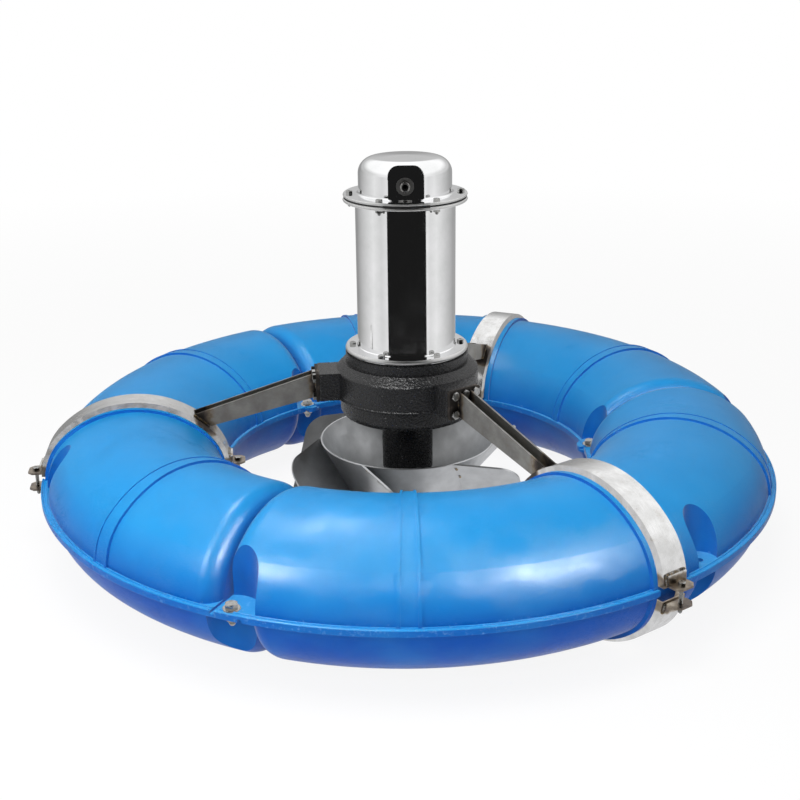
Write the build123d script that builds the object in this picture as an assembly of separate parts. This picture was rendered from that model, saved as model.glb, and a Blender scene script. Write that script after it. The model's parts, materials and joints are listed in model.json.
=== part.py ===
from build123d import *
import os
from math import acos, atan2, cos, degrees, pi, radians, sin, tan

# Pond aerator: a motor and gear case hang over a water wheel in the middle of three joined floats.
# The origin is on the motor axis in the floats' parting plane, and +Z is up.

# Float ring
float_count = 3
float_az = -53.5
ring_r = 448.0
body_half_width = 141.0
body_half_height = 114.0
flank_r = 95.0
float_wall = 5.0
cavity_end_angle = 3.5
lap_angle = 2.0
end_gap = 3.0
end_round = 26.0
outer_lip_reach = 11.0
inner_lip_reach = 7.0
lip = 4.0
rib_angle = 36.5
rib_width_angle = 3.2
rib_bead_angle = 0.5
rib_rise = 2.5
rib_bead_rise = 4.0
joint_pocket_r = 38.0
pocket_r = 27.0
outer_bolt_edge = 17.0
inner_bolt_edge = 13.0
inner_tab_r = 22.0
mooring_edge = 26.0
mooring_angle = 8.5
mooring_hole_r = 5.5

# Float clamps, in the groove that each float has at its middle
band_width = 44.0
band_rise = 12.0
band_sheet = 2.5
groove_depth = 2.0
groove_side_gap = 4.0
seat_bead_width = 8.0
seat_bead_rise = 5.0
upper_band_end = 6.0
lower_band_end = -15.0
lug_width = 34.0
lug_reach = 23.0
lug_sheet = 3.0
lug_leg = 16.0
lug_chamfer = 7.0
lug_bolt_offset = 11.0

# Support arms
arm_width = 24.0
arm_sheet = 3.0
arm_inner_top = 158.5
arm_inner_bottom = 118.0
arm_foot_setback = 98.0
arm_outer_top = 97.0
arm_outer_bottom = 70.0
plate_width = 60.0
plate_height = 48.0
plate_sheet = 5.0
plate_bolt_across = 40.0
plate_bolt_up = 30.0

# Gear case
case_joint_z = 116.5
case_face_r = 146.0
boss_width = 62.0
drum_r = 117.0
drum_height = 44.0
shoulder_height = 13.5
ledge_r = 100.0
ledge_height = 16.0
ledge_step = 4.0
case_wall = 9.0
case_roof = 16.0
case_bore_r = 100.0
case_gasket_sheet = 1.0
base_r = 110.0
base_height = 32.5
base_floor = 19.0
base_bore_r = 86.0
neck_r = 42.0
neck_length = 97.0
case_bolt_ring_r = 96.0
case_bolt_recess = 8.0
case_bolt_count = 6

# Motor housing
tube_r = 79.5
tube_wall = 2.0
tube_length = 249.0
base_gasket_sheet = 2.0
base_flange_sheet = 8.0
top_flange_sheet = 5.0
cap_gasket_sheet = 3.0
cap_flange_sheet = 4.0
motor_flange_r = 97.0
motor_bolt_ring_r = 88.0
motor_bolt_count = 6
motor_bolt_az = 3.0
cap_r = 74.0
cap_wall = 2.0
cap_height = 63.0
cap_shoulder_r = 25.0
cap_crown = 3.0
cap_foot_r = 4.0
gland_height = 26.5
gland_thread_r = 9.0
gland_collar_r = 13.6
gland_nut_r = 8.0
gland_cable_r = 3.2

# Motor inside
motor_shaft_r = 10.0
motor_shaft_rise = 2.0
rotor_r = 38.0
air_gap = 0.5
core_length = 110.0
winding_inner_r = 44.0
winding_outer_r = 70.0
winding_height = 30.0
winding_gap = 20.0
shield_sheet = 12.0
shield_hub_drop = 16.0
motor_bearing_r = 23.5
motor_bearing_width = 14.0
bearing_hub_wall = 7.0
seal_width = 8.0
motor_seal_r = 20.0

# Gear train: two spur stages, the second coaxial with the motor
centre_distance = 54.0
gear_az = 66.5
gear_module = 2.0
motor_pinion_teeth = 11
counter_gear_teeth = 43
counter_pinion_teeth = 12
output_gear_teeth = 42
profile_shift = 0.4
backlash = 0.30
pressure_angle = 20.0
first_stage_width = 14.0
second_stage_width = 22.0
gear_floor_gap = 18.0
stage_gap = 12.0
counter_shaft_r = 7.5
counter_bearing_r = 17.5
counter_bearing_width = 11.0
output_shaft_r = 17.5
output_bearing_r = 31.0
output_bearing_width = 14.0
running_fit = 0.05

# Water wheel
wheel_rim_r = 145.0
wheel_rim_z = 36.0
wheel_bottom_r = 85.0
wheel_bottom_z = -88.0
wheel_sheet = 2.5
hub_r = 30.0
hub_flange_r = 58.0
hub_flange_sheet = 6.0
hub_height = 55.0
shaft_end_gap = 4.0
hub_nut_height = 14.0
hub_nut_af = 46.0
blade_count = 6
blade_az = 0.0
blade_sweep = 60.0
blade_drop = 0.11
blade_reach = 102.0
blade_sheet = 3.0
blade_foot_z = -80.0
blade_twist = 22.0
blade_twist_drop = 66.0
blade_corner = 40.0

# Hexagon fasteners: thread radius, width across flats, head height
m6 = (3.0, 10.0, 4.0)
m8 = (4.0, 13.0, 5.5)
m10 = (5.0, 16.0, 6.5)
hole_clearance = 0.5
washer_sheet = 2.0
washer_r = 12.0

# Worked out from the values above
sector = 360.0 / float_count
flange_outer_r = ring_r + body_half_width + outer_lip_reach
flange_inner_r = ring_r - body_half_width - inner_lip_reach
outer_bolt_ring_r = flange_outer_r - outer_bolt_edge
inner_bolt_ring_r = flange_inner_r + inner_bolt_edge
mooring_ring_r = flange_outer_r - mooring_edge
arm_outer_r = ring_r - arm_foot_setback
joint_pockets = ((outer_bolt_ring_r, joint_pocket_r), (inner_bolt_ring_r, pocket_r))
float_angles = [float_az + sector * i for i in range(float_count)]
drum_top = case_joint_z + drum_height
ledge_bottom = drum_top + shoulder_height
ledge_top = ledge_bottom + ledge_height
roof_underside = ledge_top - case_roof
base_top = case_joint_z - case_gasket_sheet
base_bottom = base_top - base_height
neck_bottom = base_bottom - neck_length
case_bolt_seat = base_bottom + case_bolt_recess
case_floor = base_bottom + base_floor
plate_z = (arm_inner_top + arm_inner_bottom) / 2
base_flange_bottom = ledge_top + base_gasket_sheet
base_flange_top = base_flange_bottom + base_flange_sheet
tube_top = base_flange_bottom + tube_length
top_flange_bottom = tube_top - top_flange_sheet
cap_flange_bottom = tube_top + cap_gasket_sheet
cap_flange_top = cap_flange_bottom + cap_flange_sheet
cap_top = cap_flange_bottom + cap_height
gland_z = cap_flange_bottom + gland_height
lower_hub_z = base_flange_bottom + 2
lower_shield_z = lower_hub_z + shield_hub_drop
core_bottom = lower_shield_z + shield_sheet + winding_gap + winding_height
core_top = core_bottom + core_length
upper_shield_z = core_top + winding_height + winding_gap / 2
motor_shaft_top = upper_shield_z + shield_sheet + motor_shaft_rise
second_stage_z = case_floor + gear_floor_gap
first_stage_z = second_stage_z + second_stage_width + stage_gap
counter_spot = Pos(centre_distance * cos(radians(gear_az)), centre_distance * sin(radians(gear_az)), 0)
wheel_plate_top = wheel_bottom_z + wheel_sheet
hub_top = wheel_plate_top + hub_height


def ring(outer_r, inner_r, bottom, top):
    """A flat ring about the Z axis."""
    height = top - bottom
    disc = Cylinder(outer_r, height, align=(Align.CENTER, Align.CENTER, Align.MIN))
    hole = Cylinder(inner_r, height, align=(Align.CENTER, Align.CENTER, Align.MIN))
    return Pos(0, 0, bottom) * (disc - hole)


def rod(radius, bottom, top):
    """A round bar along Z between two levels."""
    return Pos(0, 0, bottom) * Cylinder(radius, top - bottom, align=(Align.CENTER, Align.CENTER, Align.MIN))


def polar(radius, angle, z=0.0):
    """The place at a radius and an angle round the Z axis, turned to face outward."""
    return Rot(0, 0, angle) * Pos(radius, 0, z)


def group(shapes):
    """Several shapes as one node of separate solids."""
    return Compound([solid for shape in shapes for solid in shape.solids()])


def around(shapes, angles):
    """Copies of some shapes turned about the Z axis, as one group of separate solids."""
    return group([Rot(0, 0, angle) * shape for angle in angles for shape in shapes])


def hexagon(across_flats, height):
    return extrude(RegularPolygon(across_flats / 2, 6, major_radius=False), amount=height)


def bolt(size, length, washer_r=0.0):
    """A hexagon bolt whose head stands on z = 0 and whose shank points down."""
    thread_r, across_flats, head = size
    seat = washer_sheet if washer_r else 0.0
    body = rod(thread_r, -length, seat) + Pos(0, 0, seat) * hexagon(across_flats, head)
    if washer_r:
        body += rod(washer_r, 0, washer_sheet)
    return body


def nut(size, height):
    """A hexagon nut that hangs under z = 0."""
    return Pos(0, 0, -height) * (hexagon(size[1], height) - rod(size[0], 0, height))


def half_section(grow, side):
    """Upper (side 1) or lower (side -1) half of the float's section, grown outward by an offset."""
    reach = body_half_width - flank_r
    crown_r = (reach**2 + body_half_height**2 - flank_r**2) / (2 * (body_half_height - flank_r))
    rise = degrees(atan2(crown_r - body_half_height, reach))
    flank, crown = flank_r + grow, crown_r + grow
    arch = [
        CenterArc((ring_r + reach, 0), flank, 0, rise),
        CenterArc((ring_r, body_half_height - crown_r), crown, rise, 180 - 2 * rise),
        CenterArc((ring_r - reach, 0), flank, 180 - rise, rise),
    ]
    face = Plane.XZ * make_face(arch + [Line(arch[2] @ 1, arch[0] @ 0)])
    return face if side > 0 else mirror(face, about=Plane.XY)


def sweep_section(face, start, stop):
    return Rot(0, 0, start) * revolve(face, Axis.Z, revolution_arc=stop - start)


def straight_section(grow, half_length):
    """The whole float section at an offset, run straight across the middle of the float."""
    upper = extrude(half_section(grow, 1), amount=half_length, both=True)
    lower = extrude(half_section(grow, -1), amount=half_length, both=True)
    return upper + lower


def float_half(side):
    """One half of a float with rounded ends. The upper half reaches further clockwise."""
    gap = end_gap / flange_outer_r * 180 / pi
    start = -sector / 2 - side * lap_angle + gap
    stop = sector / 2 - side * lap_angle - gap
    half = sweep_section(half_section(0, side), start, stop)
    ends = [f for f in half.faces() if f.geom_type == GeomType.PLANE and abs(f.normal_at().Z) < 0.5]
    arches = [e for f in ends for e in f.edges() if abs(e.center().Z) > 1.0]
    return fillet(arches, end_round), start, stop


def float_lip(side, start, stop):
    flat = Plane.XZ * Pos((flange_outer_r + flange_inner_r) / 2, side * lip / 2) * Rectangle(
        flange_outer_r - flange_inner_r, lip
    )
    return sweep_section(flat, start, stop)


def inner_tab(side, start, stop):
    """The round tab of the lip that carries the inner joint bolt, cut off at the joint."""
    disc = Cylinder(inner_tab_r, lip)
    inner_r = inner_bolt_ring_r - 2 * inner_tab_r
    reach = Plane.XZ * Pos(inner_r + 2 * inner_tab_r, 0) * Rectangle(4 * inner_tab_r, 2 * lip)
    tab = (polar(inner_bolt_ring_r, -side * sector / 2) * disc) & sweep_section(reach, start, stop)
    return Pos(0, 0, side * lip / 2) * tab


def float_cavity():
    """The closed hollow of a float, kept a wall away from its groove, its pockets and its ends."""
    reach = sector / 2 - lap_angle - cavity_end_angle
    inset = groove_depth + float_wall
    cavity = sweep_section(half_section(-inset, 1), -reach, reach)
    cavity += sweep_section(half_section(-inset, -1), -reach, reach)
    height = 4 * body_half_height
    cavity -= polar(mooring_ring_r, mooring_angle) * Cylinder(pocket_r + float_wall, height)
    for angle in (-sector / 2, sector / 2):
        for radius, size in joint_pockets:
            cavity -= polar(radius, angle) * Cylinder(size + float_wall, height)
    return cavity


def float_body():
    """One moulded float, centred on +X, with its parting plane at z = 0."""
    body = None
    for side in (1, -1):
        half, start, stop = float_half(side)
        half += float_lip(side, start, stop)
        half += inner_tab(side, start, stop)
        body = half if body is None else body + half
    for angle in (-rib_angle, rib_angle):
        low = angle - rib_width_angle / 2
        body += sweep_section(half_section(rib_rise, 1), low, low + rib_width_angle)
        for edge in (low, low + rib_width_angle - rib_bead_angle):
            body += sweep_section(half_section(rib_bead_rise, 1), edge, edge + rib_bead_angle)
    groove_half = band_width / 2 + groove_side_gap
    body += straight_section(seat_bead_rise, groove_half + seat_bead_width)
    slab = Pos(ring_r, 0, 0) * Box(flange_outer_r - flange_inner_r + 60, 2 * groove_half, 4 * body_half_height)
    body -= slab - straight_section(-groove_depth, groove_half + 1)
    pocket_height = body_half_height + seat_bead_rise
    for side in (1, -1):
        middle_z = side * (lip + pocket_height / 2)
        for radius, size in joint_pockets:
            body -= polar(radius, -side * sector / 2, middle_z) * Cylinder(size, pocket_height)
        body -= polar(mooring_ring_r, mooring_angle, middle_z) * Cylinder(pocket_r, pocket_height)
    for angle in (-sector / 2, sector / 2):
        for radius in (outer_bolt_ring_r, inner_bolt_ring_r):
            body -= polar(radius, angle) * Cylinder(m10[0] + hole_clearance, 4 * lip)
    body -= polar(mooring_ring_r, mooring_angle) * Cylinder(mooring_hole_r, 4 * lip)
    return body - float_cavity()


def band(side, end):
    """Half a clamp: a channel bent over the float with an angle lug welded at each end."""
    half = band_width / 2
    outer = extrude(half_section(band_rise, side), amount=half, both=True)
    hollow = extrude(half_section(band_rise - band_sheet, side), amount=half - band_sheet, both=True)
    seat = extrude(half_section(-groove_depth, side), amount=half + 1, both=True)
    hoop = outer - hollow - seat
    below = Pos(ring_r, 0, end / 2) * Box(4 * body_half_width, 2 * band_width, abs(end))
    hoop -= below
    for facing in (1, -1):
        web = ring_r + facing * (body_half_width + band_rise)
        hoop += lug(web, facing, side, end)
    return hoop


def lug(web, facing, side, end):
    """An angle lug on the web of a band. Its flat leg holds the clamp bolt."""
    flat_z = end + side * (lug_sheet / 2 + 2)
    start = web - facing * band_sheet
    length = lug_reach + band_sheet
    flat = Pos(start + facing * length / 2, 0, flat_z) * Box(length, lug_width, lug_sheet)
    tip = start + facing * length
    corners = [e for e in flat.edges().filter_by(Axis.Z) if abs(e.center().X - tip) < 0.1]
    flat = chamfer(corners, lug_chamfer)
    upright = Pos(web, 0, flat_z + side * (lug_leg - lug_sheet) / 2) * Box(2 * lug_sheet, lug_width, lug_leg)
    hole = Pos(web + facing * lug_bolt_offset, 0, flat_z) * Cylinder(m6[0] + hole_clearance, 2 * lug_sheet)
    return flat + upright - hole


def lug_levels():
    """Outer faces of the two lugs that a clamp bolt passes through."""
    return upper_band_end + 2 + lug_sheet, lower_band_end - 2 - lug_sheet


def arm():
    """A channel arm, open upward and tapering outward, with its bolted end plate."""
    face_r = case_face_r + plate_sheet
    side_view = Polyline(
        (face_r, arm_inner_bottom),
        (arm_outer_r, arm_outer_bottom),
        (arm_outer_r, arm_outer_top),
        (face_r, arm_inner_top),
        close=True,
    )
    outside = extrude(Plane.XZ * make_face(side_view), amount=arm_width / 2, both=True)
    inner_view = Pos(0, arm_sheet) * make_face(side_view)
    inside = extrude(Plane.XZ * inner_view, amount=arm_width / 2 - arm_sheet, both=True)
    channel = outside - inside - straight_section(band_rise, arm_width)
    plate = Pos(case_face_r + plate_sheet / 2, 0, plate_z) * Box(plate_sheet, plate_width, plate_height)
    plate = fillet(plate.edges().filter_by(Axis.X), 4)
    weldment = channel + plate
    for y, z in plate_bolt_spots():
        weldment -= Pos(face_r, y, z) * Rot(0, 90, 0) * Cylinder(m8[0] + hole_clearance, 3 * plate_sheet)
    return weldment


def plate_bolt_spots():
    """The five bolts of an end plate: four at the corners and one in the channel."""
    across, up = plate_bolt_across / 2, plate_bolt_up / 2
    corners = [(y, plate_z + z) for y in (-across, across) for z in (-up, up)]
    return corners + [(0, plate_z + up)]


def gear_case():
    """The main casting: a drum with three arm faces, a sloping shoulder and the motor seat."""
    profile = Polyline(
        (0, case_joint_z),
        (drum_r, case_joint_z),
        (drum_r, drum_top),
        (ledge_r + ledge_step, ledge_bottom),
        (ledge_r, ledge_bottom),
        (ledge_r, ledge_top),
        (0, ledge_top),
        close=True,
    )
    body = revolve(Plane.XZ * make_face(profile), Axis.Z)
    drum_edge = [e for e in body.edges().filter_by(GeomType.CIRCLE) if abs(e.center().Z - drum_top) < 0.1]
    body = fillet(drum_edge, 6)
    block_length = case_face_r - ledge_r
    block_top = plate_z + plate_height / 2
    block = Pos(ledge_r + block_length / 2, 0, (case_joint_z + block_top) / 2) * Box(
        block_length, boss_width, block_top - case_joint_z
    )
    outer_edges = [e for e in block.edges().filter_by(Axis.Z) if e.center().X > drum_r]
    block = fillet(outer_edges, 3)
    for angle in float_angles:
        body += Rot(0, 0, angle) * block
    cavity_view = Polyline(
        (0, case_joint_z),
        (case_bore_r, case_joint_z),
        (case_bore_r, roof_underside - 4),
        (case_bore_r - 4, roof_underside),
        (0, roof_underside),
        close=True,
    )
    cavity = revolve(Plane.XZ * make_face(cavity_view), Axis.Z)
    for angle in case_bolt_angles():
        cavity -= polar(case_bolt_ring_r, angle) * rod(2 * m8[0], case_joint_z, case_joint_z + 26)
    body -= cavity
    body -= rod(motor_seal_r, roof_underside - 1, ledge_top)
    body -= counter_spot * rod(counter_bearing_r, roof_underside - 1, roof_underside + counter_bearing_width)
    for angle in case_bolt_angles():
        body -= polar(case_bolt_ring_r, angle) * rod(m8[0], case_joint_z - 1, case_joint_z + 18)
    for angle in motor_bolt_angles():
        body -= polar(motor_bolt_ring_r, angle) * rod(m6[0], ledge_top - 12, ledge_top)
    for angle in float_angles:
        for y, z in plate_bolt_spots():
            thread = Pos(case_face_r - 8, y, z) * Rot(0, 90, 0) * Cylinder(m8[0], 16)
            body -= Rot(0, 0, angle) * thread
    return body


def case_bolt_angles():
    return [gear_az + 30 + 360 / case_bolt_count * i for i in range(case_bolt_count)]


def motor_bolt_angles():
    return [motor_bolt_az + 360 / motor_bolt_count * i for i in range(motor_bolt_count)]


def gear_case_base():
    """The lower casting: it closes the drum and carries the output shaft in a long neck."""
    profile = Polyline(
        (0, neck_bottom),
        (neck_r, neck_bottom),
        (neck_r, base_bottom),
        (base_r, base_bottom),
        (base_r, base_top),
        (0, base_top),
        close=True,
    )
    body = revolve(Plane.XZ * make_face(profile), Axis.Z)
    rim = [e for e in body.edges().filter_by(GeomType.CIRCLE) if abs(e.radius - base_r) < 0.1]
    body = fillet([e for e in rim if e.center().Z < base_bottom + 1], 12)
    root = [e for e in body.edges().filter_by(GeomType.CIRCLE) if abs(e.radius - neck_r) < 0.1]
    body = fillet([e for e in root if e.center().Z > base_bottom - 1], 6)
    body -= rod(base_bore_r, case_floor, base_top + 1)
    body -= rod(output_bearing_r, case_floor - output_bearing_width, case_floor + 1)
    body -= rod(output_bearing_r - 4, neck_bottom + seal_width, case_floor)
    body -= rod(output_bearing_r, neck_bottom - 1, neck_bottom + seal_width + output_bearing_width)
    body -= counter_spot * rod(counter_bearing_r, case_floor - counter_bearing_width, case_floor + 1)
    for angle in case_bolt_angles():
        body -= polar(case_bolt_ring_r, angle) * rod(m8[0] + hole_clearance, base_bottom - 1, base_top + 1)
        body -= polar(case_bolt_ring_r, angle) * rod(m8[1] * 0.65, base_bottom - 1, case_bolt_seat)
    return body


def bearing(bore_r, outer_r, width, bottom):
    """A sealed ball bearing: two races with a recessed shield on each side."""
    middle = (bore_r + outer_r) / 2
    half_recess = (outer_r - bore_r) / 4
    body = ring(outer_r, bore_r, bottom, bottom + width)
    for low in (bottom - 1, bottom + width - 0.8):
        body -= ring(middle + half_recess, middle - half_recess, low, low + 1.8)
    return body


def gear_tooth(module, teeth, shift, flank_steps):
    """Corner points of one tooth, centred on angle 0, from one root to the other."""
    pitch_r = module * teeth / 2
    base_circle_r = pitch_r * cos(radians(pressure_angle))
    root_r = pitch_r - module * (1.25 - shift)
    tip_r = pitch_r + module * (1 + shift) - 0.1
    thickness = module * (pi / 2 + 2 * shift * tan(radians(pressure_angle))) - backlash / 2
    start_angle = thickness / (2 * pitch_r) + involute(radians(pressure_angle))
    low_r = max(root_r, base_circle_r)
    radii = [low_r + (tip_r - low_r) * i / flank_steps for i in range(flank_steps + 1)]
    flank = [(r, start_angle - involute(acos(min(1.0, base_circle_r / r)))) for r in radii]
    if root_r < low_r - 0.1:
        flank.insert(0, (root_r, flank[0][1]))
    return [(r, -a) for r, a in flank] + [(r, a) for r, a in reversed(flank)]


def involute(angle):
    return tan(angle) - angle


def gear(teeth, shift, width, flank_steps):
    """A spur gear on z = 0 with a tooth on +X."""
    corners = []
    for i in range(teeth):
        turn = 2 * pi * i / teeth
        for r, a in gear_tooth(gear_module, teeth, shift, flank_steps):
            corners.append((r * cos(turn + a), r * sin(turn + a)))
    return extrude(make_face(Polyline(*corners, close=True)), amount=width)


def cap():
    """The drawn motor cap: a flanged cup with a round shoulder and a slightly crowned top."""
    inner_edge_r = cap_r - cap_wall
    foot_z = cap_flange_top + cap_foot_r
    shoulder_z = cap_top - cap_crown - cap_shoulder_r
    outside = [
        Line((0, cap_flange_bottom), (motor_flange_r, cap_flange_bottom)),
        Line((motor_flange_r, cap_flange_bottom), (motor_flange_r, cap_flange_top)),
        Line((motor_flange_r, cap_flange_top), (cap_r + cap_foot_r, cap_flange_top)),
        RadiusArc((cap_r + cap_foot_r, cap_flange_top), (cap_r, foot_z), cap_foot_r),
        Line((cap_r, foot_z), (cap_r, shoulder_z)),
        RadiusArc((cap_r, shoulder_z), (cap_r - cap_shoulder_r, cap_top - cap_crown), -cap_shoulder_r),
        Line((cap_r - cap_shoulder_r, cap_top - cap_crown), (0, cap_top)),
        Line((0, cap_top), (0, cap_flange_bottom)),
    ]
    body = revolve(Plane.XZ * make_face(outside), Axis.Z)
    inner_shoulder_r = cap_shoulder_r - cap_wall
    inner_top = cap_top - cap_crown - cap_wall
    inside = [
        Line((0, cap_flange_bottom - 1), (inner_edge_r, cap_flange_bottom - 1)),
        Line((inner_edge_r, cap_flange_bottom - 1), (inner_edge_r, shoulder_z)),
        RadiusArc((inner_edge_r, shoulder_z), (cap_r - cap_shoulder_r, inner_top), -inner_shoulder_r),
        Line((cap_r - cap_shoulder_r, inner_top), (0, cap_top - cap_wall)),
        Line((0, cap_top - cap_wall), (0, cap_flange_bottom - 1)),
    ]
    body -= revolve(Plane.XZ * make_face(inside), Axis.Z)
    body -= Pos(0, -cap_r, gland_z) * Rot(90, 0, 0) * Cylinder(gland_thread_r, 4 * cap_wall + 4)
    for angle in motor_bolt_angles():
        body -= polar(motor_bolt_ring_r, angle) * rod(m6[0] + hole_clearance, cap_flange_bottom, cap_flange_top)
    return body


def flange_ring(outer_r, inner_r, bottom, top):
    """A motor flange or gasket with its circle of bolt holes."""
    body = ring(outer_r, inner_r, bottom, top)
    for angle in motor_bolt_angles():
        body -= polar(motor_bolt_ring_r, angle) * rod(m6[0] + hole_clearance, bottom, top)
    return body


def end_shield(bottom, hub_bottom, hub_top, bearing_z):
    """A disc in the motor tube with a hub for the shaft bearing."""
    body = rod(tube_r - tube_wall, bottom, bottom + shield_sheet)
    body += rod(motor_bearing_r + bearing_hub_wall, hub_bottom, hub_top)
    body -= rod(motor_shaft_r + 2, hub_bottom - 1, hub_top + 1)
    return body - rod(motor_bearing_r, bearing_z, bearing_z + motor_bearing_width)


def cone_solid(inset):
    """The water wheel's bowl as a solid body, moved inward by an offset."""
    slope = (wheel_rim_r - wheel_bottom_r) / (wheel_rim_z - wheel_bottom_z)
    floor_r = wheel_bottom_r - inset * (1 + slope**2) ** 0.5 + slope * inset
    view = Polyline(
        (0, wheel_bottom_z + inset),
        (floor_r, wheel_bottom_z + inset),
        (floor_r + slope * (wheel_rim_z - wheel_bottom_z - inset), wheel_rim_z),
        (0, wheel_rim_z),
        close=True,
    )
    return revolve(Plane.XZ * make_face(view), Axis.Z)


def blade(angle):
    """A flat swept plate welded to the bowl. Its root leans forward down the bowl."""
    slope = (wheel_rim_r - wheel_bottom_r) / (wheel_rim_z - wheel_bottom_z)
    rim_point = Vector(wheel_rim_r, 0, wheel_rim_z)
    low_r = wheel_rim_r - slope * blade_twist_drop
    twist = radians(blade_twist)
    low_point = Vector(low_r * cos(twist), low_r * sin(twist), wheel_rim_z - blade_twist_drop)
    sweep_dir = radians(blade_sweep)
    out = Vector(cos(sweep_dir), sin(sweep_dir), -blade_drop).normalized()
    down = (low_point - rim_point).normalized()
    face_plane = Plane(origin=rim_point, x_dir=out, z_dir=out.cross(down))
    lean = down.dot(out)
    fall = (1 - lean**2) ** 0.5
    depth = 1.6 * (wheel_rim_z - blade_foot_z)
    corner = Vector(blade_reach, 0)
    foot = Vector(blade_reach + lean * depth, fall * depth)
    root_top = Vector(-wheel_rim_r / 2, 0)
    root_foot = Vector(-wheel_rim_r / 2 + lean * depth, fall * depth)
    outline = make_face(Polyline(root_top, corner, foot, root_foot, close=True))
    outer_corner = outline.vertices().sort_by_distance(corner)[0]
    outline = fillet(outer_corner, blade_corner)
    plate = extrude(face_plane * outline, amount=blade_sheet / 2, both=True)
    plate -= cone_solid(0)
    plate -= rod(3 * wheel_rim_r, blade_foot_z - 6 * wheel_rim_r, blade_foot_z)
    plate -= rod(3 * wheel_rim_r, wheel_rim_z, wheel_rim_z + wheel_rim_r)
    outermost = max(plate.solids(), key=lambda s: s.volume)
    return Rot(0, 0, angle) * outermost


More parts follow.
